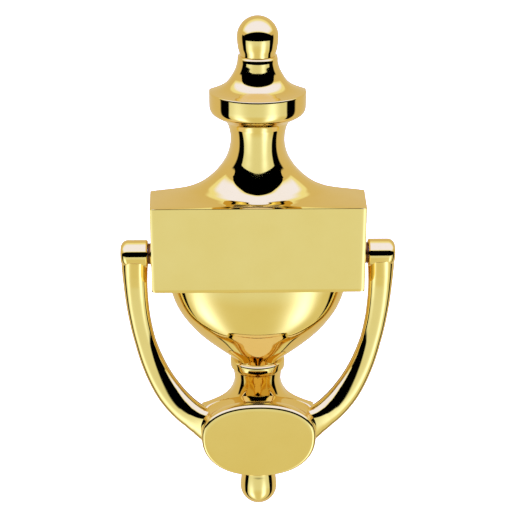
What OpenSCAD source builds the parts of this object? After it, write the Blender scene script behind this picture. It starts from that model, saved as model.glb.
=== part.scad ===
// Urn pattern door knocker: hollow turned casting bolted through the door,
// and a stirrup striker that swings up from two pivot screws in the block's ends.
// Z is up, the front faces -Y, and y = 0 is the door's outer face.

/* [Block] */
// Half width of the block at the door
block_hw_back = 42.1; // [38:0.1:46]
// Half width of the block at its front
block_hw_front = 41.2; // [36:0.1:45]
// Front face, measured out from the door
block_depth = 22; // [18:0.5:26]
// Underside of the block
block_z0 = -6.05; // [-8:0.25:-2]
// Top of the block at its ends
block_z1 = 28.2; // [24:0.1:32]
// Rounding of the block's upright edges
block_edge_r = 1.2; // [0.5:0.1:2]
// Wall of the hollow casting
wall = 3.8; // [3:0.1:5]

/* [Turned parts] */
// Axis of the turned parts, out from the door
turn_y = 3; // [0:0.5:5]
// Radius of the finial bulb
ball_r = 7.8; // [6:0.1:9]
// Height of the bulb's widest point
ball_z = 90.2; // [86:0.1:94]
// Radius of the collar's rim
collar_r = 18.55; // [16:0.1:21]
// Radius of the neck
neck_r = 10.5; // [9:0.1:12]
// Radius of the bead under the bowl
bead_r = 10.9; // [10.5:0.1:13]
// Radius of the stem's waist
waist_r = 9.7; // [8.5:0.1:11]
// Radius of the foot's rim
foot_r = 23.2; // [20:0.1:25]
// Strike face on the foot, out from the door
strike_depth = 21.5; // [20:0.5:22]

/* [Striker] */
// Height of the pivot line
pivot_z = 6.2; // [4:0.1:9]
// Pivot line, out from the door
pivot_depth = 11; // [9:0.5:13]
// Radius of the barrel eyes
eye_r = 5.5; // [5:0.1:6.5]
// Length of each eye
eye_len = 10.7; // [9:0.1:12]
// Width of the arms at their slimmest
arm_w = 8.4; // [8:0.1:11]
// Thickness of the arms, front to back
arm_t = 7.6; // [6:0.1:9]
// Width of the oval hammer
oval_w = 45.4; // [40:0.1:50]
// Height of the oval hammer
oval_h = 32; // [26:0.1:34]
// Height of the oval's middle
oval_z = -65.9; // [-70:0.1:-60]
// Front of the oval, out from the door
oval_depth = 32; // [30:0.5:34]
// Thickness of the oval
oval_t = 4.8; // [4:0.1:7]
// Radius of the pull drop under the oval
pull_r = 7.35; // [6:0.1:8]

/* [Fixings] */
// Half the spacing of the two fixing studs
stud_z = 44; // [40:1:46]
// Radius of the studs' plain shank
stud_r = 2.5; // [2:0.1:3]
// Thickness of the door
door_t = 44; // [35:1:54]
// Radius of the cover washers
cover_r = 9; // [8:0.5:11]
// Radius of the pivot screws' shoulder
shoulder_r = 3; // [2.5:0.1:3.5]
// Radial running clearance of the shoulders in the block's walls
pivot_fit = 0.05; // [0.02:0.01:0.1]

/* [Hidden] */
$fn = 72;
brass = [0.84, 0.70, 0.38];
steel = [0.72, 0.73, 0.75];
thread_r = stud_r - 0.2;         // threads drawn as a slimmer core
lug_y = -4.6;                    // seat of the lock nuts, inside the casting
boss_x = 41.9;                   // machined seats on the block's ends
spacer_t = 0.9;
eye_x = boss_x + spacer_t + 0.12; // inner end of each eye
nut_t = 2.7;
cover_t = 1.5;
loft_m = 32;                     // points round each lofted section
arm_n = 22;                      // stations along each arm

// Piece to draw

// ---------- helpers ----------

// points on an arc, for profiles
function arc(cx, cy, r, a0, a1, n = 8) =
    [for (i = [0:n]) let (a = a0 + (a1 - a0) * i / n) [cx + r * cos(a), cy + r * sin(a)]];

// one half of a rounded plan: w half width, d depth from the door, e squareness
function half_plan(w, d, e, z, t0 = turn_y) =
    concat([[-w, 0, z]],
           [for (i = [0:loft_m]) let (a = 180 * i / loft_m)
               [-w * sign(cos(a)) * pow(abs(cos(a)), 2 / e),
                -t0 - (d - t0) * pow(abs(sin(a)), 2 / e), z]],
           [[w, 0, z]]);

// rings of equal length joined into one closed solid
module loft(rings) {
    n = len(rings[0]);
    m = len(rings);
    polyhedron(points = [for (r = rings) for (p = r) p],
        faces = concat(
            [[for (j = [0:n - 1]) j]],
            [for (i = [0:m - 2]) for (j = [0:n - 1]) let (k = (j + 1) % n)
                [i * n + j, (i + 1) * n + j, i * n + k]],
            [for (i = [0:m - 2]) for (j = [0:n - 1]) let (k = (j + 1) % n)
                [i * n + k, (i + 1) * n + j, (i + 1) * n + k]],
            [[for (j = [n - 1:-1:0]) (m - 1) * n + j]]), convexity = 6);
}

// a turned piece on the upright axis, kept to the door's outer side
module turned(profile) {
    intersection() {
        translate([0, -turn_y, 0]) rotate_extrude() polygon(profile);
        translate([-60, -60, -120]) cube([120, 60, 240]);
    }
}

// cylinder along X from x0 to x1
module xcyl(r, x0, x1, y, z, n = 72) {
    translate([x0, y, z]) rotate([0, 90, 0]) cylinder(r = r, h = x1 - x0, $fn = n);
}

// cylinder along Y from y0 to y1
module ycyl(r, y0, y1, z, n = 72) {
    translate([0, y1, z]) rotate([90, 0, 0]) cylinder(r = r, h = y1 - y0, $fn = n);
}

// ---------- urn casting ----------

// finial, collar and neck as one turned profile
module upper_turning() {
    turned(concat(
        [[0, 47.4]],
        arc(neck_r + 16.7, 50.4, 16.7, 190.4, 180, 3),
        arc(neck_r + 6.2, 52.6, 6.2, 180, 128, 6),
        [[collar_r - 3.4, 58.9]],
        arc(collar_r - 3.4, 62.3, 3.4, -80, 0, 6),
        arc(collar_r - 0.5, 68.6, 0.5, 0, 75, 3),
        arc(20.4, 81.6, 12.45, 256, 187, 9),
        arc(ball_r - 0.35, 81.6, 0.5, 0, 90, 3),
        [[ball_r - 0.75, 82.4], [ball_r - 0.6, 84.6], [ball_r - 0.2, 87.4]],
        arc(0, ball_z, ball_r, -6, 90, 16)));
}

// bead, stem and foot
module lower_turning() {
    turned(concat(
        [[0, -38], [10.2, -38], [10.7, -41.2]],
        arc(bead_r - 1.0, -43.2, 1.0, 70, -20, 4),
        [[bead_r - 0.3, -45.0]],
        arc(bead_r - 1.7, -46.2, 1.2, 20, -60, 4),
        [[waist_r, -50.4]],
        arc(waist_r + 12.8, -53, 12.8, 180, 258, 10),
        [[foot_r, -65.2]],
        arc(foot_r - 0.8, -70.2, 0.8, 0, -90, 3),
        [[0, -71]]));
}

// heights of the saddle between neck and block: half width, depth, squareness, height
saddle = [[40.0, 21.5, 20, 27.2], [39.6, 21.6, 18, 28.5], [37.6, 21.55, 15, 28.9],
          [34.4, 21.4, 11, 29.3], [30.0, 21.0, 7, 29.8], [26.5, 20.3, 5, 30.5],
          [23.5, 19.3, 3.7, 31.5], [20.6, 17.9, 3, 33.1], [18.6, 16.8, 2.6, 34.6],
          [16.5, 15.75, 2.33, 36.5], [14.6, 14.8, 2.13, 38.8], [13.1, 14.3, 2.04, 40.8],
          [12.05, 14.0, 2, 42.8], [11.2, 13.75, 2, 45.0], [10.6, 13.5, 2, 48.4]];

// heights of the bowl
bowl = [[10.2, 13.6, 2, -42.1], [11.0, 14.4, 2, -41.0], [12.4, 15.6, 2.03, -39.1],
        [18.0, 17.2, 2.1, -35.5], [22.4, 18.3, 2.15, -31.8], [25.7, 19.1, 2.2, -28.3],
        [28.5, 19.9, 2.25, -24.7], [31.0, 20.5, 2.3, -21.1], [32.8, 20.9, 2.3, -17.6],
        [34.1, 21.2, 2.3, -14.1], [35.0, 21.35, 2.3, -10.5], [35.6, 21.45, 2.3, -7.0],
        [35.8, 21.5, 2.3, -4.6]];

module block_plan() {
    w0 = block_hw_back;
    w1 = block_hw_front;
    depth = block_depth;
    r = block_edge_r;
    difference() {
        polygon([[-w0, 0], [w0, 0], [w1, -depth], [-w1, -depth]]);
        for (s = [-1, 1]) translate([s * (w1 - r), -depth + r]) difference() {
            translate([s * r - r, -2 * r]) square([2 * r, 2 * r]);
            circle(r = r, $fn = 36);
        }
    }
}

module urn_outside() {
    translate([0, 0, block_z0]) linear_extrude(block_z1 - block_z0) block_plan();
    loft([for (s = saddle) half_plan(s[0], s[1], s[2], s[3])]);
    loft([for (s = bowl) half_plan(s[0], s[1], s[2], s[3])]);
    upper_turning();
    intersection() {
        lower_turning();
        translate([-60, -strike_depth, -120]) cube([120, strike_depth, 240]);
    }
    for (s = [-1, 1]) intersection() {
        xcyl(5, s > 0 ? 38 : -boss_x, s > 0 ? boss_x : -38, -pivot_depth, pivot_z);
        translate([-60, -60, -20]) cube([120, 60, 60]);
    }
}

// hollow behind: block, saddle, bowl and foot, with the recesses round the studs
module urn_hollow() {
    h = 1;
    translate([0, h, 0]) {
        translate([-block_hw_front + wall + 0.4, -block_depth + wall - h, block_z0 + wall])
            cube([2 * (block_hw_front - wall - 0.4), block_depth - wall + h,
                  block_z1 - block_z0 - 2 * wall + 0.2]);
        loft([for (s = [[27, 14.5, 2.9, 24], [20, 13.2, 2.4, 30], [13.2, 11.4, 2.2, 34],
                        [8, 8.8, 2.1, 36.5]]) half_plan(s[0], s[1], s[2], s[3], 1)]);
        loft([for (s = [[12, 11, 2.1, -35], [19, 13.6, 2.2, -31], [24.6, 15.4, 2.3, -24],
                        [28.6, 16.6, 2.3, -16], [30, 17.2, 2.3, -8], [30, 17.4, 2.3, 0]])
              half_plan(s[0], s[1], s[2], s[3], 1)]);
        // foot pocket
        translate([-12, -12, -68.4]) cube([24, 12 + h, 3.4]);
        // collar pocket
        ycyl(6.2, -12, 0, 64.5);
    }
    for (s = [-1, 1]) {
        // lock nut recess and tapped hole
        ycyl(5.6, lug_y, 1, s * stud_z);
        ycyl(stud_r, -13.2, 1, s * stud_z);
        // pivot bores
        xcyl(shoulder_r + pivot_fit, s > 0 ? 30 : -50, s > 0 ? 50 : -30, -pivot_depth, pivot_z);
    }
}

module urn_casting() {
    color(brass) difference() {
        urn_outside();
        urn_hollow();
    }
}

// ---------- striker ----------

// centre line of the left or right arm: half span, depth from the door, height
arm_p = [[47.9, 11.2, 4.0], [50.3, 11.6, -36.5], [33.7, 15.4, -64.3], [16.5, 25.5, -61.1]];

// half width of an arm at u: full at the eye, slim at a third, broad at the oval
function arm_hw(u) = u < 0.3 ? arm_w / 2 + 0.8 * (1 - u / 0.3) : arm_w / 2 + 1.35 * min(1, (u - 0.3) / 0.3);

function bez(p, u) = pow(1 - u, 3) * p[0] + 3 * pow(1 - u, 2) * u * p[1]
    + 3 * (1 - u) * u * u * p[2] + u * u * u * p[3];
function dbez(p, u) = 3 * pow(1 - u, 2) * (p[1] - p[0]) + 6 * (1 - u) * u * (p[2] - p[1])
    + 3 * u * u * (p[3] - p[2]);
function unit(v) = v / norm(v);

// one rounded section of an arm at u, square to its path
function arm_ring(u, s) =
    let (c = bez(arm_p, u), d = unit(dbez(arm_p, u)),
         side = unit([-d[2], 0, d[0]]), out = cross(side, d),
         f = out[1] > 0 ? 1 : -1)
    [for (i = [0:19]) let (a = 18 * i * s + 9,
            ca = cos(a), sa = sin(a),
            q = c + side * (arm_hw(u) * sign(ca) * pow(abs(ca), 2 / 2.8))
                  + f * out * (arm_t / 2 * sign(sa) * pow(abs(sa), 2 / 2.3)))
        [s * q[0], -q[1], q[2]]];

module arm(s) {
    loft([for (i = [0:arm_n]) arm_ring(i / arm_n, s)]);
}

// outline of the oval, fuller below its widest line; g grows it
function oval_ring(g, y) =
    [for (i = [0:47]) let (a = -7.5 * i, half = oval_h / 2 * (a > -180 ? 1.1 : 0.9))
        [(oval_w / 2 + g) * sign(cos(a)) * pow(abs(cos(a)), 2 / 2.25), y,
         oval_z + oval_h * 0.05 + (half + g) * sign(sin(a)) * pow(abs(sin(a)), 2 / 2.25)]];

module oval() {
    y0 = -oval_depth;
    loft([for (p = [[-1.1, 0], [-0.5, 0.15], [-0.15, 0.5], [0, 1.1],
                    [0, oval_t - 0.8], [-0.8, oval_t]]) oval_ring(p[0], y0 + p[1])]);
}

// one barrel eye, rounded at both ends, with its blind screw hole
module eye(s) {
    r = eye_r;
    translate([s * eye_x, -pivot_depth, pivot_z]) rotate([0, s * 90, 0])
        rotate_extrude() polygon(concat([[0, 0], [r - 0.9, 0]],
            arc(r - 0.9, 0.9, 0.9, -90, 0, 4),
            arc(r - 2.2, eye_len - 2.2, 2.2, 0, 90, 8), [[0, eye_len]]));
}

// the ball to lift the striker by, drawn in a little towards the oval
module pull_drop() {
    z = oval_z - 23.9;
    translate([0, -24.2, 0]) rotate_extrude() polygon(concat(
        arc(0, z, pull_r, -90, 0, 14),
        [for (k = [1:6]) [pull_r - 0.0175 * pow(1.5 * k, 2), z + 1.5 * k]],
        [[pull_r - 1.5, z + 10.6], [0, z + 12.6]]));
}

module striker_casting() {
    color(brass) difference() {
        union() {
            for (s = [-1, 1]) {
                arm(s);
                eye(s);
            }
            oval();
            pull_drop();
            // pad behind the oval that carries the strike button
            translate([0, -oval_depth + 1, oval_z - 1.5]) rotate([-90, 0, 0])
                cylinder(r1 = 11, r2 = 8.4, h = 6.6);
        }
        for (s = [-1, 1])
            xcyl(thread_r + 0.1, s > 0 ? 40 : -eye_x - 7.6, s > 0 ? eye_x + 7.6 : -40,
                 -pivot_depth, pivot_z);
        translate([0, -oval_depth + 4.2, oval_z - 1.5]) rotate([-90, 0, 0])
            cylinder(r = 2.05, h = 10);
    }
}

// domed stud pressed into the back of the hammer
module strike_button() {
    y0 = -oval_depth + 7.6;
    h = oval_depth - strike_depth - 7.6;
    color(brass) translate([0, y0, oval_z - 1.5]) rotate([-90, 0, 0]) {
        translate([0, 0, -3.2]) cylinder(r = 2, h = 3.3);
        rotate_extrude() polygon(concat([[0, 0], [4.6, 0], [4.6, 1.2]],
            arc(3.0, 1.2, h - 1.24, 0, 84, 6), [[2.6, h - 0.03], [0, h - 0.03]]));
    }
}

// ---------- pivots ----------

module spacer_washer(s) {
    color(brass) difference() {
        xcyl(4.1, s > 0 ? boss_x + 0.02 : -boss_x - spacer_t - 0.02,
             s > 0 ? boss_x + spacer_t + 0.02 : -boss_x - 0.02, -pivot_depth, pivot_z);
        xcyl(shoulder_r + 0.35, -60, 60, -pivot_depth, pivot_z);
    }
}

inner_x = block_hw_front - wall - 0.4;   // inside face of the block's ends
washer_t = 0.6;
head_h = 3;

module inner_washer(s) {
    color(steel) difference() {
        xcyl(4.6, s > 0 ? inner_x - washer_t - 0.02 : -inner_x + 0.02,
             s > 0 ? inner_x - 0.02 : -inner_x + washer_t + 0.02, -pivot_depth, pivot_z);
        xcyl(shoulder_r + 0.35, -60, 60, -pivot_depth, pivot_z);
    }
}

// socket shoulder screw: the head is inside the block, the tip holds the eye
module pivot_screw(s) {
    head_x = inner_x - washer_t - 0.14;
    color(steel) translate([0, -pivot_depth, pivot_z]) rotate([0, s * 90, 0]) difference() {
        union() {
            translate([0, 0, head_x - head_h]) cylinder(r = 4.4, h = head_h);
            translate([0, 0, head_x - 0.1]) cylinder(r = shoulder_r, h = eye_x - head_x + 0.08);
            translate([0, 0, eye_x - 0.1]) cylinder(r = thread_r, h = 7.2);
        }
        translate([0, 0, head_x - head_h - 1]) cylinder(r = 1.75, h = 2.8, $fn = 6);
    }
}

// ---------- through-door fixings ----------

module fixing_stud(z) {
    color(steel) {
        ycyl(thread_r, -12.6, -0.2, z);
        ycyl(stud_r, -0.3, door_t - 0.5, z);
        ycyl(thread_r, door_t - 0.6, door_t + 6.4, z);
    }
}

module lock_nut(z) {
    color(steel) difference() {
        ycyl(4.6, lug_y + 0.02, lug_y + 0.02 + nut_t, z, 6);
        ycyl(thread_r + 0.05, -20, 10, z);
    }
}

module cover_washer(z) {
    color(brass) difference() {
        translate([0, door_t, z]) rotate([-90, 0, 0]) rotate_extrude()
            polygon(concat([[0, 0], [cover_r, 0], [cover_r, 0.5]],
                arc(cover_r - 0.8, 0.7, 0.8, 0, 80, 4), [[4.6, cover_t], [0, cover_t]]));
        ycyl(stud_r + 0.3, door_t - 5, door_t + 10, z);
    }
}

module dome_nut(z) {
    y0 = door_t + cover_t + 0.02;
    color(brass) difference() {
        union() {
            translate([0, y0 + 3.6, z]) rotate([90, 0, 0]) cylinder(r = 4.6, h = 3.6, $fn = 6);
            translate([0, y0 + 3.5, z]) rotate([-90, 0, 0]) rotate_extrude()
                polygon(concat([[0, 0], [3.8, 0]], arc(0, 0.4, 3.8, 0, 90, 8)));
        }
        ycyl(thread_r + 0.05, y0 - 5, y0 + 5.6, z);
    }
}

urn_casting();
striker_casting();
strike_button();
spacer_washer(-1);  // spacer_washer_left
spacer_washer(1);  // spacer_washer_right
pivot_screw(-1);  // pivot_screw_left
pivot_screw(1);  // pivot_screw_right
inner_washer(-1);  // inner_washer_left
inner_washer(1);  // inner_washer_right
fixing_stud(stud_z);  // fixing_stud_upper
fixing_stud(-stud_z);  // fixing_stud_lower
lock_nut(stud_z);  // lock_nut_upper
lock_nut(-stud_z);  // lock_nut_lower
cover_washer(stud_z);  // cover_washer_upper
cover_washer(-stud_z);  // cover_washer_lower
dome_nut(stud_z);  // dome_nut_upper
dome_nut(-stud_z);  // dome_nut_lower
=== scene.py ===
"""Urn door knocker in polished, lacquered brass: cast body, swinging striker, fixings."""

import math

import bmesh
import bpy
import numpy as np
from mathutils import Matrix, Vector


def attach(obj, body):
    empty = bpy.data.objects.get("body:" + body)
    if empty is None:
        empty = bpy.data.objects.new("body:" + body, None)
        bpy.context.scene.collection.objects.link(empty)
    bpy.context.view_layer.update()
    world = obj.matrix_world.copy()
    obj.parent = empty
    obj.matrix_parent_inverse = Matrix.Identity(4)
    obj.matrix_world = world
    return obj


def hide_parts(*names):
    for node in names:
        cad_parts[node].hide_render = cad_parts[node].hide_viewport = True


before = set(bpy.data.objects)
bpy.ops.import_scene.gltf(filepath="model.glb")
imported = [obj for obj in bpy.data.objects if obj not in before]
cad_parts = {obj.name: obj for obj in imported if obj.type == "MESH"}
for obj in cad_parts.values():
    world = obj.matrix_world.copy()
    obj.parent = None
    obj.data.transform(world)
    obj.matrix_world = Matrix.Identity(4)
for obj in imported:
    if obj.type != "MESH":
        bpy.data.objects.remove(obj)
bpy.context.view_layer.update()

MM = 0.001

# ---------- driving sizes, in millimetres, with depths measured out from the door ----------

TURN_Y = 3.0  # axis of the turned parts, out from the door
BLOCK_HALF = 42.1  # half width of the block at the door
BLOCK_DEPTH = 22.0
BLOCK_DRAFT = 0.0214  # how much narrower the block is at its front
STRIKE_DEPTH = 21.5  # flat that the hammer meets on the foot
ROUND = 0.5  # roundness of a turned section
SQUARE = 0.0165  # roundness of the block's section

PIVOT_Y = 11.0  # the pins that the striker swings on
PIVOT_Z = 6.2
EYE_R = 5.5  # barrel eyes at the tops of the arms
EYE_X = 42.92
EYE_LEN = 10.7
OVAL_W = 45.4  # the oval hammer
OVAL_H = 32.0
OVAL_Z = -65.9
OVAL_DEPTH = 32.0
OVAL_T = 4.8
OVAL_FULL = 2.25  # 2 gives an ellipse, more a fuller outline
OVAL_SAG = 0.05  # how far its widest line lies above its middle, over its height
PULL_R = 7.35  # the drop under the hammer
PULL_Y = 24.2
PULL_BELOW = 23.9  # from the hammer's middle down to the drop's widest line
FOOT_TOP = -62.0  # below this the casting's front is milled flat for the hammer
BULB_R = 7.9  # the finial's ball
BULB_Z = 90.1
SEAT_X = 41.9  # machined seats on the block's ends


# ---------- small helpers ----------


def arc(cx, cy, radius, start, end, steps=8):
    """Points on an arc, angles in degrees."""
    angles = np.radians(np.linspace(start, end, steps + 1))
    return [(cx + radius * math.cos(a), cy + radius * math.sin(a)) for a in angles]


def spline(stations, steps):
    """A natural cubic spline through the stations, so that reflections run on across them."""
    p = np.array(stations, float)
    h = np.linalg.norm(np.diff(p[:, :2], axis=0), axis=1)
    n = len(p)
    a, r = np.zeros((n, n)), np.zeros_like(p)
    a[0, 0] = a[-1, -1] = 1
    for i in range(1, n - 1):
        a[i, i - 1 : i + 2] = h[i - 1], 2 * (h[i - 1] + h[i]), h[i]
        r[i] = 6 * ((p[i + 1] - p[i]) / h[i] - (p[i] - p[i - 1]) / h[i - 1])
    bend = np.linalg.solve(a, r)
    out = []
    for i in range(n - 1):
        for t in np.arange(steps) / steps * h[i]:
            u = h[i] - t
            out.append(
                (bend[i] * u**3 + bend[i + 1] * t**3) / (6 * h[i])
                + (p[i] / h[i] - bend[i] * h[i] / 6) * u
                + (p[i + 1] / h[i] - bend[i + 1] * h[i] / 6) * t
            )
    return [*out, p[-1]]


def draw_out(bm, rings):
    """A closed solid whose skin is drawn out from each ring of points to the next."""
    count = len(rings[0])
    ring = list(bmesh.ops.create_circle(bm, segments=count, radius=1)["verts"])
    for v, p in zip(ring, rings[0]):
        v.co = p
    bmesh.ops.contextual_create(bm, geom=ring)
    for target in rings[1:]:
        edges = [bm.edges.get((ring[i], ring[(i + 1) % count])) for i in range(count)]
        made = bmesh.ops.extrude_edge_only(bm, edges=edges)["geom"]
        fresh = {v for v in made if isinstance(v, bmesh.types.BMVert)}
        ring = [
            next(e.other_vert(v) for e in v.link_edges if e.other_vert(v) in fresh)
            for v in ring
        ]
        for v, p in zip(ring, target):
            v.co = p
    bmesh.ops.contextual_create(bm, geom=ring)


def turn(bm, profile, place=Matrix(), steps=96):
    """A turned solid: profile is (radius, height) from the lower pole to the upper one."""
    verts = [bm.verts.new((r, 0, z)) for r, z in profile]
    edges = [bm.edges.new(pair) for pair in zip(verts, verts[1:])]
    bmesh.ops.spin(
        bm, geom=verts + edges, cent=(0, 0, 0), axis=(0, 0, 1),
        angle=2 * math.pi, steps=steps, use_merge=True,
    )
    island = {v for v in bm.verts if not v.tag}
    bmesh.ops.transform(bm, matrix=place, verts=list(island))
    for v in bm.verts:
        v.tag = True
    return island


def place_at(x, y, z, axis="Z"):
    """Moves a turned piece to its place, with its axis upright or laid along X or Y."""
    turned = {
        "Z": Matrix(),
        "X": Matrix.Rotation(math.radians(90), 4, "Y"),
        "-X": Matrix.Rotation(math.radians(-90), 4, "Y"),
        "Y": Matrix.Rotation(math.radians(-90), 4, "X"),
        "-Y": Matrix.Rotation(math.radians(90), 4, "X"),
    }[axis]
    return Matrix.Translation((x, y, z)) @ turned


def finish_piece(bm, name, material, body, nodes=(), sharp=38):
    """Scales the mesh to metres, closes and smooths it, and hands it to the frame."""
    bmesh.ops.remove_doubles(bm, verts=bm.verts, dist=0.0004)
    bmesh.ops.dissolve_degenerate(bm, edges=bm.edges, dist=0.0004)
    bmesh.ops.recalc_face_normals(bm, faces=bm.faces)
    bmesh.ops.scale(bm, vec=(MM, MM, MM), verts=bm.verts)
    for f in bm.faces:
        f.smooth = True
    for e in bm.edges:
        e.smooth = len(e.link_faces) == 2 and e.calc_face_angle() < math.radians(sharp)
    mesh = bpy.data.meshes.new(name)
    bm.to_mesh(mesh)
    bm.free()
    piece = bpy.data.objects.new(name, mesh)
    bpy.context.scene.collection.objects.link(piece)
    mesh.materials.append(material)
    if nodes:
        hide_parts(*nodes)
    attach(piece, body)
    return piece


# ---------- materials ----------


def srgb(code):
    """A hex colour as linear red, green, blue and alpha."""
    parts = [int(code[i : i + 2], 16) / 255 for i in (1, 3, 5)]
    return [c / 12.92 if c <= 0.04045 else ((c + 0.055) / 1.055) ** 2.4 for c in parts] + [1]


def add(tree, kind, settings=None, links=None, **props):
    """Adds a node, sets its properties and sockets, and links sockets to outputs."""
    node = tree.nodes.new(kind)
    for key, value in props.items():
        setattr(node, key, value)
    for key, value in (settings or {}).items():
        node.inputs[key].default_value = value
    for key, source in (links or {}).items():
        tree.links.new(source, node.inputs[key])
    return node


def new_material(name):
    """An empty material with its output and surface shader."""
    made = bpy.data.materials.new(name)
    made.use_nodes = True
    tree = made.node_tree
    tree.nodes.clear()
    shader = tree.nodes.new("ShaderNodeBsdfPrincipled")
    out = tree.nodes.new("ShaderNodeOutputMaterial")
    tree.links.new(shader.outputs["BSDF"], out.inputs["Surface"])
    where = add(tree, "ShaderNodeTexCoord").outputs["Object"]
    return made, tree, shader, where


def polished_brass():
    """Lacquered brass, buffed to a mirror: faint long swells and a haze of fine buffing."""
    made, tree, shader, where = new_material("polished_lacquered_brass")
    # handling haze comes and goes over about 12 mm
    haze = add(tree, "ShaderNodeTexNoise", {"Scale": 1 / (12 * MM), "Detail": 3.0}, {"Vector": where})
    rough = add(tree, "ShaderNodeMapRange", {"To Min": 0.028, "To Max": 0.06},
                {"Value": haze.outputs["Fac"]})
    tone = add(tree, "ShaderNodeMix", {"A": srgb("#EFD27E"), "B": srgb("#EBCB72")},
               {"Factor": haze.outputs["Fac"]}, data_type="RGBA")
    # buffing leaves swells a few hundredths deep, about 7 mm apart
    swell = add(tree, "ShaderNodeTexNoise", {"Scale": 1 / (7 * MM), "Detail": 1.0}, {"Vector": where})
    bump = add(tree, "ShaderNodeBump", {"Strength": 0.05, "Distance": 0.1 * MM},
               {"Height": swell.outputs["Fac"]})
    shader.inputs["Metallic"].default_value = 1.0
    shader.inputs["Coat Weight"].default_value = 0.15
    shader.inputs["Coat Roughness"].default_value = 0.03
    tree.links.new(tone.outputs["Result"], shader.inputs["Base Color"])
    tree.links.new(rough.outputs["Result"], shader.inputs["Roughness"])
    tree.links.new(bump.outputs["Normal"], shader.inputs["Normal"])
    return made


def turned_brass():
    """Brass left as it came off the lathe: satin, with fine rings."""
    made, tree, shader, where = new_material("turned_satin_brass")
    rings = add(tree, "ShaderNodeTexNoise", {"Scale": 1 / (0.4 * MM), "Detail": 2.0}, {"Vector": where})
    rough = add(tree, "ShaderNodeMapRange", {"To Min": 0.18, "To Max": 0.32},
                {"Value": rings.outputs["Fac"]})
    shader.inputs["Metallic"].default_value = 1.0
    shader.inputs["Base Color"].default_value = srgb("#DDBE6C")
    tree.links.new(rough.outputs["Result"], shader.inputs["Roughness"])
    return made


def plated_steel():
    """Zinc plated steel: a soft grey with a faint mottle."""
    made, tree, shader, where = new_material("zinc_plated_steel")
    mottle = add(tree, "ShaderNodeTexNoise", {"Scale": 1 / (1.5 * MM), "Detail": 4.0}, {"Vector": where})
    tone = add(tree, "ShaderNodeMix", {"A": srgb("#B9BCBF"), "B": srgb("#D2D3D2")},
               {"Factor": mottle.outputs["Fac"]}, data_type="RGBA")
    rough = add(tree, "ShaderNodeMapRange", {"To Min": 0.22, "To Max": 0.4},
                {"Value": mottle.outputs["Fac"]})
    shader.inputs["Metallic"].default_value = 1.0
    tree.links.new(tone.outputs["Result"], shader.inputs["Base Color"])
    tree.links.new(rough.outputs["Result"], shader.inputs["Roughness"])
    return made


def dark_brown_brass():
    """A thin brass disc, coloured dark brown in patches."""
    made, tree, shader, where = new_material("dark_brown_brass")
    # the brown comes in patches about 1 mm across
    patches = add(tree, "ShaderNodeTexNoise", {"Scale": 1 / (1.2 * MM), "Detail": 3.0},
                  {"Vector": where})
    tone = add(tree, "ShaderNodeMix", {"A": srgb("#5A3318"), "B": srgb("#7E4A22")},
               {"Factor": patches.outputs["Fac"]}, data_type="RGBA")
    rough = add(tree, "ShaderNodeMapRange", {"To Min": 0.25, "To Max": 0.45},
                {"Value": patches.outputs["Fac"]})
    shader.inputs["Metallic"].default_value = 1.0
    tree.links.new(tone.outputs["Result"], shader.inputs["Base Color"])
    tree.links.new(rough.outputs["Result"], shader.inputs["Roughness"])
    return made


brass = polished_brass()
dark_brown = dark_brown_brass()
satin = turned_brass()
steel = plated_steel()

# ---------- urn casting ----------

# shoulder, cove, collar, neck and saddle: height, half width, depth, roundness
SHOULDER = [
    (82.95, 6.6, 9.7, 0.5), (82.9, 6.95, 10.05, 0.5), (82.7, 7.3, 10.4, 0.5),
    (82.4, 7.52, 10.65, 0.5), (82.0, 7.63, 10.8, 0.5), (81.6, 7.66, 10.85, 0.5),
]
COVE = [
    (81.2, 7.68, 10.9, 0.5), (80.2, 7.77, 10.9, 0.51), (78.8, 8.05, 10.9, 0.52),
    (77.4, 8.5, 10.91, 0.535), (76.05, 9.15, 10.98, 0.545), (74.5, 10.05, 11.2, 0.55),
    (72.8, 11.25, 11.7, 0.55), (71.4, 12.95, 12.65, 0.54), (70.6, 14.7, 13.7, 0.53),
    (70.1, 16.15, 15.0, 0.52), (69.75, 17.2, 16.5, 0.51), (69.5, 17.95, 18.2, 0.5),
    (69.35, 18.25, 19.9, 0.5),
]
COLLAR = [(69.3, 18.3, 20.35, 0.5), (69.2, 18.42, 20.47, 0.5), (69.02, 18.51, 20.56, 0.5),
          (68.8, 18.55, 20.6, 0.5), (68.5, 18.55, 20.6, 0.5), (64.6, 18.55, 20.6, 0.5)]
UNDER = [
    (64.0, 18.53, 20.58, 0.5), (62.8, 18.42, 20.45, 0.5), (61.7, 18.05, 20.1, 0.5),
    (60.8, 17.35, 19.4, 0.5), (60.1, 16.4, 18.5, 0.5), (59.35, 14.9, 17.5, 0.5),
    (58.6, 13.4, 16.7, 0.5), (57.6, 12.2, 16.3, 0.5), (56.4, 11.5, 15.95, 0.5),
]
NECK = [
    (56.2, 11.4, 15.9, 0.5), (54.6, 10.95, 15.75, 0.5), (52.4, 10.55, 15.65, 0.5),
    (50.0, 10.45, 15.6, 0.5), (47.5, 10.7, 15.6, 0.51), (45.0, 11.25, 15.65, 0.52),
    (42.8, 12.1, 15.7, 0.54), (40.8, 13.2, 15.8, 0.56), (38.8, 14.6, 15.95, 0.57),
    (36.5, 16.6, 16.2, 0.58), (34.6, 18.7, 16.6, 0.58), (33.1, 20.7, 17.1, 0.57),
    (32.0, 22.6, 17.6, 0.56), (31.2, 24.5, 18.1, 0.54), (30.4, 26.9, 18.8, 0.52),
    (29.8, 30.0, 19.5, 0.48), (29.3, 33.8, 20.15, 0.42), (28.9, 37.5, 20.8, 0.3),
    (28.6, 40.0, 21.35, 0.14), (28.35, 41.85, 21.96, 0.02),
]
BLOCK_EVEN = (28.1, 27.7, 24.7, 24.5, 18, 11, 4, -1.4, -1.6, -4.5, -5.7)
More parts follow.
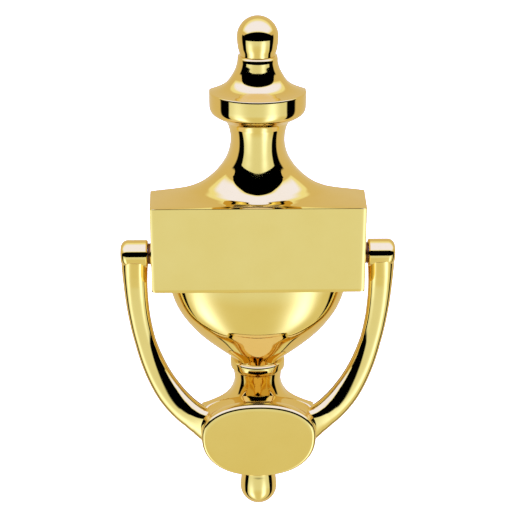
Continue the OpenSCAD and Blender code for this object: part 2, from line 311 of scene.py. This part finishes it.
BLOCK = [
    (28.25, 42.05, BLOCK_DEPTH, SQUARE),
    *[(z, BLOCK_HALF, BLOCK_DEPTH, SQUARE) for z in BLOCK_EVEN],
    (-5.85, 42.05, 21.95, SQUARE), (-6.0, 41.9, 21.8, SQUARE), (-6.05, 41.75, 21.65, SQUARE),
    (-6.05, 36.0, 21.5, 0.43),
]
BOWL = [
    (-6.1, 35.75, 21.5, 0.43), (-8.5, 35.45, 21.5, 0.43), (-11.0, 34.95, 21.45, 0.43),
    (-14.1, 34.1, 21.3, 0.43), (-17.6, 32.8, 20.95, 0.43), (-21.1, 31.0, 20.3, 0.43),
    (-24.7, 28.6, 19.3, 0.44), (-28.3, 25.8, 17.9, 0.45), (-31.8, 22.4, 16.4, 0.46),
    (-35.5, 18.0, 15.1, 0.48), (-38.0, 14.6, 14.3, 0.49), (-39.9, 12.0, 13.7, 0.5),
    (-41.2, 10.7, 13.35, 0.5), (-41.8, 10.3, 13.2, 0.5),
]
BEAD = [(-42.0, 10.25), (-42.2, 10.6), (-42.6, 10.95), (-43.3, 11.1), (-44.6, 11.1), (-45.6, 11.05),
        (-46.2, 10.85), (-46.5, 10.5), (-46.7, 10.1), (-47.2, 9.95)]
STEM = [(-48.0, 9.85), (-49.2, 9.7), (-50.6, 9.55), (-52.2, 9.5), (-53.8, 9.65), (-55.5, 10.1),
        (-57.3, 10.9), (-59.2, 12.3), (-61.0, 14.5), (-62.8, 17.9), (-64.0, 20.7), (-64.7, 22.7)]
FOOT = [(-64.85, 23.0), (-65.1, 23.2), (-65.5, 23.2), (-68.2, 23.2), (-68.4, 23.2), (-70.2, 23.2),
        (-70.7, 23.0), (-71.0, 22.4)]
# hollow behind: height, half width, depth, roundness
HOLLOW = [
    (70, 5.6, 0, 0.5), (57.3, 5.6, 0, 0.5), (56.8, 5.6, 4.6, 0.4), (37.5, 5.6, 4.6, 0.4),
    (36.5, 8, 8, 0.45), (34, 13, 10.4, 0.42), (30, 20, 12.4, 0.4), (24.7, 27, 13.4, 0.35),
    (24.5, 36, 18.2, 0.05), (-1.4, 36, 18.2, 0.05), (-1.6, 31, 17.2, 0.42), (-8, 30.6, 17.1, 0.43),
    (-16, 28.8, 16.5, 0.43), (-24, 24.6, 15.4, 0.43), (-31, 18.6, 13.4, 0.45), (-36, 11, 10.5, 0.48),
    (-38, 5.6, 4.6, 0.4), (-50.4, 5.6, 4.6, 0.4), (-50.9, 5.6, 0, 0.4), (-64.9, 12, 0, 0.2),
    (-65.1, 12, 10, 0.1), (-68.2, 12, 10, 0.1), (-68.4, 12, 0, 0.2), (-80, 12, 0, 0.2),
]

# rays round a section, closer together near the block's upright edges
CORNER = math.atan2(BLOCK_DEPTH - TURN_Y, BLOCK_HALF)
RAYS = np.concatenate([
    np.linspace(0, CORNER - 0.1, 9, endpoint=False),
    np.linspace(CORNER - 0.1, CORNER + 0.1, 19, endpoint=False),
    np.linspace(CORNER + 0.1, math.pi / 2, 26),
])
RAYS = np.concatenate([RAYS, math.pi - RAYS[-2::-1]])
INNER = 24


def section(z, w, d, q):
    """A closed C of points at height z: the outer skin, the flat back rims and the hollow."""
    e = 1 / q
    draft = BLOCK_DRAFT * max(0.0, 1 - 2 * q)
    depth = d - TURN_Y
    points = [(-w, 0.0), (-w, -TURN_Y / 2)]
    for a in RAYS:
        c, s = abs(math.cos(a)), math.sin(a)
        reach = ((c / w) ** e + (s / depth) ** e) ** (-q)
        points.append((-math.copysign(reach * c, math.cos(a)), -TURN_Y - reach * s))
    points += [(w, -TURN_Y / 2), (w, 0.0)]
    points = [(x * (1 + draft * y / BLOCK_DEPTH), y) for x, y in points]
    if z < FOOT_TOP:
        points = [(x, max(y, -STRIKE_DEPTH)) for x, y in points]
    heights = [-h[0] for h in HOLLOW]
    wi, di, qi = (np.interp(-z, heights, [h[i] for h in HOLLOW]) for i in (1, 2, 3))
    for i in range(INNER + 1):
        a = math.pi * i / INNER
        c = math.copysign(abs(math.cos(a)) ** (2 * qi), math.cos(a)) if i != INNER / 2 else 0.0
        points.append((wi * c, -di * max(0.0, math.sin(a)) ** (2 * qi)))
    return [Vector((x, y, z)) for x, y in points]


def turned_stations(stations):
    """Round sections from heights and radii alone."""
    return [(z, r, r + TURN_Y, ROUND) for z, r in stations]


def make_urn():
    """The body casting: finial, cove, collar, neck, saddle, block, bowl, bead, stem and foot."""
    bm = bmesh.new()
    stations = [
        *SHOULDER, *spline(COVE, 4), *COLLAR, *spline(UNDER, 4), *spline(NECK, 4), *BLOCK,
        *spline(BOWL, 4), *spline(turned_stations(BEAD), 3), *spline(turned_stations(STEM), 4),
        *turned_stations(FOOT),
    ]
    draw_out(bm, [section(*s) for s in stations])
    for v in bm.verts:
        v.tag = True
    # finial bulb, turned and then cut flat at the door
    bulb = [(83.55, 6.85), (84.3, 7.05), (85.5, 7.4), (87.0, 7.65), (88.5, 7.83),
            (BULB_Z, BULB_R)]
    profile = [(0, 82.5), (6.7, 82.5), (6.75, 83.1), *[(r, z) for z, r in spline(bulb, 3)],
               *arc(0, BULB_Z, BULB_R, 5, 90, 16)]
    island = turn(bm, profile, place_at(0, -TURN_Y, 0))
    faces = {f for v in island for f in v.link_faces}
    edges = {e for v in island for e in v.link_edges}
    cut = bmesh.ops.bisect_plane(
        bm, geom=[*island, *edges, *faces], dist=1e-5, plane_co=(0, 0, 0), plane_no=(0, 1, 0),
        clear_outer=True,
    )["geom_cut"]
    bmesh.ops.edgenet_fill(bm, edges=[g for g in cut if isinstance(g, bmesh.types.BMEdge)])
    for v in bm.verts:
        v.tag = True
    # machined seats for the spacer washers
    for side in (-1, 1):
        seat = [(0, 38), (5, 38), (5, SEAT_X - 0.15), (4.85, SEAT_X), (0, SEAT_X)]
        turn(bm, seat, place_at(0, -PIVOT_Y, PIVOT_Z, "X" if side > 0 else "-X"), 64)
    return finish_piece(bm, "urn_cast_body", brass, "urn", ["urn_casting"])


# ---------- striker ----------

ARM_PATH = [Vector(p) for p in ((47.9, -11.2, 4.0), (50.3, -11.6, -36.5), (33.7, -15.4, -64.3),
                                (16.5, -25.5, -61.1))]
# along each arm: place, half width inside, half width outside, half thickness behind, in front
ARM_SIZES = [
    (0.0, 5.1, 5.6, 5.0, 5.1), (0.02, 5.0, 5.5, 4.7, 4.8), (0.05, 4.85, 5.2, 4.3, 4.4),
    (0.09, 4.7, 4.85, 4.0, 4.05), (0.14, 4.55, 4.6, 3.85, 3.85), (0.22, 4.35, 4.35, 3.8, 3.8),
    (0.32, 4.25, 4.25, 3.8, 3.8), (0.45, 4.75, 4.75, 3.8, 3.8), (0.6, 5.4, 5.4, 3.9, 3.8),
    (0.72, 5.6, 5.6, 4.0, 3.8), (0.8, 5.6, 5.8, 3.9, 3.7), (0.86, 5.6, 6.8, 3.8, 3.5),
    (0.92, 5.7, 9.0, 3.8, 3.3), (1.0, 5.8, 12.0, 3.8, 3.2),
]
ARM_STEPS = 121
ARM_SIDES = 64
ARM_FULL = (2.6, 2.35)  # how full a section is across and in depth, 2 being an ellipse


def bezier(p, u):
    """The point and the direction at u on a cubic curve."""
    v = 1 - u
    at = p[0] * v**3 + p[1] * 3 * v * v * u + p[2] * 3 * v * u * u + p[3] * u**3
    along = (p[1] - p[0]) * 3 * v * v + (p[2] - p[1]) * 6 * v * u + (p[3] - p[2]) * 3 * u * u
    return at, along.normalized()


def power(value, exponent):
    return math.copysign(abs(value) ** exponent, value)


def arm_section(u, side):
    """One section of an arm: a crowned front that runs into broad round corners."""
    at, along = bezier(ARM_PATH, u)
    across = Vector((-along.z, 0, along.x)).normalized()
    out = across.cross(along)
    if out.y > 0:
        out = -out
    places = [row[0] for row in ARM_SIZES]
    inside, outside, behind, ahead = (
        np.interp(u, places, [row[i] for row in ARM_SIZES]) for i in (1, 2, 3, 4))
    ring = []
    for i in range(ARM_SIDES):
        a = 2 * math.pi * (i + 0.5) / ARM_SIDES
        c, s = math.cos(a), math.sin(a)
        width = outside if c > 0 else inside
        depth = ahead if s > 0 else behind
        p = (at + across * (width * power(c, 2 / ARM_FULL[0]))
             + out * (depth * power(s, 2 / ARM_FULL[1])))
        ring.append(Vector((side * p.x, p.y, p.z)))
    return ring


def oval_section(grow, depth):
    """The hammer's outline, fuller below its widest line, at a depth from the door."""
    ring = []
    for a in np.linspace(0, 2 * math.pi, 128, endpoint=False):
        half = OVAL_H / 2 * (0.9 if a < math.pi else 1.1)
        ring.append(Vector((
            (OVAL_W / 2 + grow) * power(math.cos(a), 2 / OVAL_FULL), -depth,
            OVAL_Z + OVAL_H * OVAL_SAG + (half + grow) * power(math.sin(a), 2 / OVAL_FULL))))
    return ring


def skirt_section(grow, depth):
    """An outline that leaves the hammer's own at its sides only, towards the arms."""
    return [
        Vector(((OVAL_W / 2 - 0.1 + grow) * power(math.cos(a), 2 / OVAL_FULL), -depth,
                OVAL_Z + 2.4 + (OVAL_H / 2 - 3.0) * power(math.sin(a), 2 / OVAL_FULL)))
        for a in np.linspace(0, 2 * math.pi, 128, endpoint=False)
    ]


def make_striker():
    """The swinging casting: two arms with barrel eyes, the hammer, its drop and its pad."""
    bm = bmesh.new()
    for side in (-1, 1):
        draw_out(bm, [arm_section(u, side) for u in np.linspace(0, 1, ARM_STEPS)])
    edge = 1.6
    rim = [(-edge + edge * math.sin(a), OVAL_DEPTH - edge + edge * math.cos(a))
           for a in np.linspace(0, math.pi / 2, 7)]
    draw_out(bm, [
        oval_section(-edge - 1.0, OVAL_DEPTH), *[oval_section(g, d) for g, d in rim],
        oval_section(0, OVAL_DEPTH - OVAL_T + 0.8), oval_section(-0.2, OVAL_DEPTH - OVAL_T + 0.3),
        oval_section(-0.8, OVAL_DEPTH - OVAL_T),
    ])
    # the hammer's skirt sweeps out into both arms
    skirt = [(3.4 * (1 - math.cos(a)), 29.6 - 7.6 * math.sin(a)) for a in np.linspace(0, 1.5, 13)]
    draw_out(bm, [skirt_section(-2.0, 29.6), *[skirt_section(g, d) for g, d in skirt],
                  skirt_section(2.6, 21.9)])
    for v in bm.verts:
        v.tag = True
    for side in (-1, 1):
        barrel = [(0, 0), (EYE_R - 0.9, 0), *arc(EYE_R - 0.8, 0.8, 0.8, -90, 0, 6),
                  *arc(EYE_R - 3.0, EYE_LEN - 3.0, 3.0, 0, 90, 12), (0, EYE_LEN)]
        turn(bm, barrel, place_at(side * EYE_X, -PIVOT_Y, PIVOT_Z, "X" if side > 0 else "-X"), 72)
    low = OVAL_Z - PULL_BELOW
    sides = [(low, PULL_R), (low + 1.5, 7.31), (low + 3.0, 7.19), (low + 4.5, 6.99),
             (low + 6.0, 6.72), (low + 7.5, 6.4), (low + 9.0, 6.2), (low + 10.6, 6.1)]
    ball = [*arc(0, low, PULL_R, -90, -4, 22), *[(r, z) for z, r in spline(sides, 3)],
            (0, low + 12)]
    turn(bm, ball, place_at(0, -PULL_Y, 0), 72)
    pad = [(0, 0), (11, 0), (8.7, 5.6), (8.2, 6.4), (7.6, 6.6), (0, 6.6)]
    turn(bm, pad, place_at(0, -OVAL_DEPTH + 1, OVAL_Z - 1.5, "Y"), 72)
    return finish_piece(bm, "striker_cast", brass, "striker", ["striker_casting"])


make_urn()
make_striker()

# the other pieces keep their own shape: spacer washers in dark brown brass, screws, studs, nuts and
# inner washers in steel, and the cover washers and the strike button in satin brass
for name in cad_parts:
    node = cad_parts[name]
    if name in ("urn_casting", "striker_casting"):
        continue
    node.data.materials.clear()
    if "spacer" in name:
        node.data.materials.append(dark_brown)
    elif any(k in name for k in ("screw", "stud", "nut", "inner")):
        node.data.materials.append(steel)
    else:
        node.data.materials.append(satin)

# ---------- floor, studio and camera ----------

STAGE_DROP = 0.16  # the floor lies this far under the knocker's middle


def make_floor():
    """A plain pale floor that glows a little, like a light table."""
    bm = bmesh.new()
    bmesh.ops.create_grid(bm, x_segments=8, y_segments=8, size=6)
    bmesh.ops.translate(bm, vec=(0, 0, -STAGE_DROP), verts=bm.verts)
    mesh = bpy.data.meshes.new("pale_floor")
    bm.to_mesh(mesh)
    bm.free()
    floor = bpy.data.objects.new("pale_floor", mesh)
    bpy.context.scene.collection.objects.link(floor)
    made, _, shader, _ = new_material("pale_floor")
    shader.inputs["Base Color"].default_value = srgb("#F4F4F2")
    shader.inputs["Roughness"].default_value = 0.8
    shader.inputs["Emission Color"].default_value = (1, 1, 1, 1)
    shader.inputs["Emission Strength"].default_value = 1.0
    mesh.materials.append(made)
    floor.visible_glossy = False


def band(tree, value, low, high, soft):
    """1 between low and high degrees, 0 outside, with soft edges."""
    up = add(tree, "ShaderNodeMapRange", {"From Min": low - soft, "From Max": low + soft},
             {"Value": value}, interpolation_type="SMOOTHSTEP")
    down = add(tree, "ShaderNodeMapRange", {"From Min": high - soft, "From Max": high + soft,
                                            "To Min": 1.0, "To Max": 0.0},
               {"Value": value}, interpolation_type="SMOOTHSTEP")
    return math_node(tree, "MULTIPLY", up.outputs["Result"], down.outputs["Result"])


def math_node(tree, operation, *values):
    node = add(tree, "ShaderNodeMath", operation=operation)
    for socket, value in zip(node.inputs, values):
        if isinstance(value, (int, float)):
            socket.default_value = value
        else:
            tree.links.new(value, socket)
    return node.outputs["Value"]


def glow(tree, azimuth, elevation, at, size):
    """A soft round patch of light at an azimuth and elevation in degrees."""
    dx = math_node(tree, "DIVIDE", math_node(tree, "SUBTRACT", azimuth, at[0]), size[0])
    dy = math_node(tree, "DIVIDE", math_node(tree, "SUBTRACT", elevation, at[1]), size[1])
    r2 = math_node(tree, "ADD", math_node(tree, "MULTIPLY", dx, dx), math_node(tree, "MULTIPLY", dy, dy))
    return math_node(tree, "EXPONENT", math_node(tree, "MULTIPLY", r2, -1.0))


def light_studio():
    """A dark room with a softbox above, a pale sweep below and behind, and two soft low lamps."""
    world = bpy.data.worlds.new("studio")
    bpy.context.scene.world = world
    world.use_nodes = True
    tree = world.node_tree
    tree.nodes.clear()
    way = add(tree, "ShaderNodeTexCoord").outputs["Generated"]
    xyz = add(tree, "ShaderNodeSeparateXYZ", links={"Vector": way})
    degrees = 180 / math.pi
    elevation = math_node(tree, "MULTIPLY", math_node(tree, "ARCSINE", xyz.outputs["Z"]), degrees)
    front = math_node(tree, "MULTIPLY", xyz.outputs["Y"], -1.0)
    azimuth = math_node(tree, "MULTIPLY", math_node(tree, "ARCTAN2", xyz.outputs["X"], front), degrees)
    swing = math_node(tree, "ABSOLUTE", azimuth)
    # where the ray meets a ceiling one unit up: the softbox is a rectangle on it
    height = math_node(tree, "MAXIMUM", xyz.outputs["Z"], 0.001)
    reach = math_node(tree, "DIVIDE", front, height)
    aside = math_node(tree, "ABSOLUTE", math_node(tree, "DIVIDE", xyz.outputs["X"], height))
    ceiling = band(tree, reach, -400, 1.43, 0.05)
    panel = math_node(tree, "MULTIPLY", band(tree, reach, -0.65, 9, 0.12), band(tree, aside, -9, 3, 0.3))
    panel = math_node(tree, "MULTIPLY", panel, ceiling)
    core = math_node(tree, "MULTIPLY", band(tree, reach, -0.25, 1.2, 0.2),
                     band(tree, aside, -9, 2.2, 0.8))
    # the pale sweep widens as it comes nearer underneath
    lower = math_node(tree, "MAXIMUM", math_node(tree, "SUBTRACT", -16.0, elevation), 0.0)
    ahead = band(tree, math_node(tree, "SUBTRACT", swing, math_node(tree, "MULTIPLY", lower, 0.35)),
                 -190, 69, 2)
    behind = band(tree, swing, 96, 260, 3)
    below = band(tree, elevation, -120, -6, 1.5)
    near = band(tree, elevation, -26, 10, 5)
    low_front = math_node(tree, "MULTIPLY", ahead, below)
    room = math_node(tree, "MAXIMUM", behind, math_node(tree, "MULTIPLY", ceiling, band(
        tree, elevation, 5, 120, 3)))
    lamps = [glow(tree, azimuth, elevation, (-46, -44), (15, 22)),
             glow(tree, azimuth, elevation, (33, -38), (13, 24))]
    parts = [
        (math_node(tree, "MULTIPLY", low_front, near), (0.87, 0.99, 1.09, 1), 1.0),
        (math_node(tree, "MULTIPLY", low_front, math_node(tree, "SUBTRACT", 1.0, near)),
         (0.81, 0.83, 0.66, 1), 1.0),
        (math_node(tree, "MULTIPLY", lamps[0], low_front), (0.35, 0.5, 1, 1), 3.0),
        (math_node(tree, "MULTIPLY", lamps[1], low_front), (0.35, 0.5, 1, 1), 3.0),
        (panel, (1.02, 1.12, 1.1, 1), 1.0),
        (core, (0.05, 0.18, 2.6, 1), 1.0),
        (math_node(tree, "MULTIPLY", room, math_node(tree, "SUBTRACT", 1.0, panel)),
         (0.78, 0.7, 0.54, 1), 1.0),
    ]
    total = None
    for mask, colour, strength in parts:
        lit = add(tree, "ShaderNodeBackground", {"Color": colour},
                  {"Strength": math_node(tree, "MULTIPLY", mask, strength)}).outputs["Background"]
        total = lit if total is None else add(
            tree, "ShaderNodeAddShader", links={0: total, 1: lit}).outputs["Shader"]
    out = tree.nodes.new("ShaderNodeOutputWorld")
    tree.links.new(total, out.inputs["Surface"])


def make_black_card():
    """A black card across the front: it cuts off the pale sweep, lower for what stands higher."""
    bm = bmesh.new()
    bmesh.ops.create_cone(bm, segments=72, radius1=0.79, radius2=0.79, depth=0.3)
    bmesh.ops.translate(bm, vec=(0, 0, 0.055), verts=bm.verts)
    behind = [v for v in bm.verts if v.co.y > -0.2]
    bmesh.ops.delete(bm, geom=behind, context="VERTS")
    mesh = bpy.data.meshes.new("black_card")
    bm.to_mesh(mesh)
    bm.free()
    card = bpy.data.objects.new("black_card", mesh)
    bpy.context.scene.collection.objects.link(card)
    made, _, shader, _ = new_material("black_card")
    shader.inputs["Base Color"].default_value = (0, 0, 0, 1)
    shader.inputs["Specular IOR Level"].default_value = 0.0
    mesh.materials.append(made)
    card.visible_camera = False
    card.visible_diffuse = False
    card.visible_shadow = False


def make_camera():
    """Looks a little down on the knocker from in front, as across a table."""
    data = bpy.data.cameras.new("camera")
    data.sensor_width = 36
    data.lens = 96.1
    data.clip_start = 0.01
    data.clip_end = 50
    camera = bpy.data.objects.new("camera", data)
    bpy.context.scene.collection.objects.link(camera)
    tilt = math.radians(21.5)
    turn_left = math.radians(-1.0)
    distance = 0.55
    level = math.cos(tilt)
    back = Vector((math.sin(turn_left) * level, -math.cos(turn_left) * level, math.sin(tilt)))
    camera.location = back * distance
    camera.rotation_mode = "QUATERNION"
    camera.rotation_quaternion = (-back).to_track_quat("-Z", "Y")
    bpy.context.scene.camera = camera


make_floor()
make_black_card()
light_studio()
make_camera()
bpy.context.scene.view_settings.view_transform = "Standard"
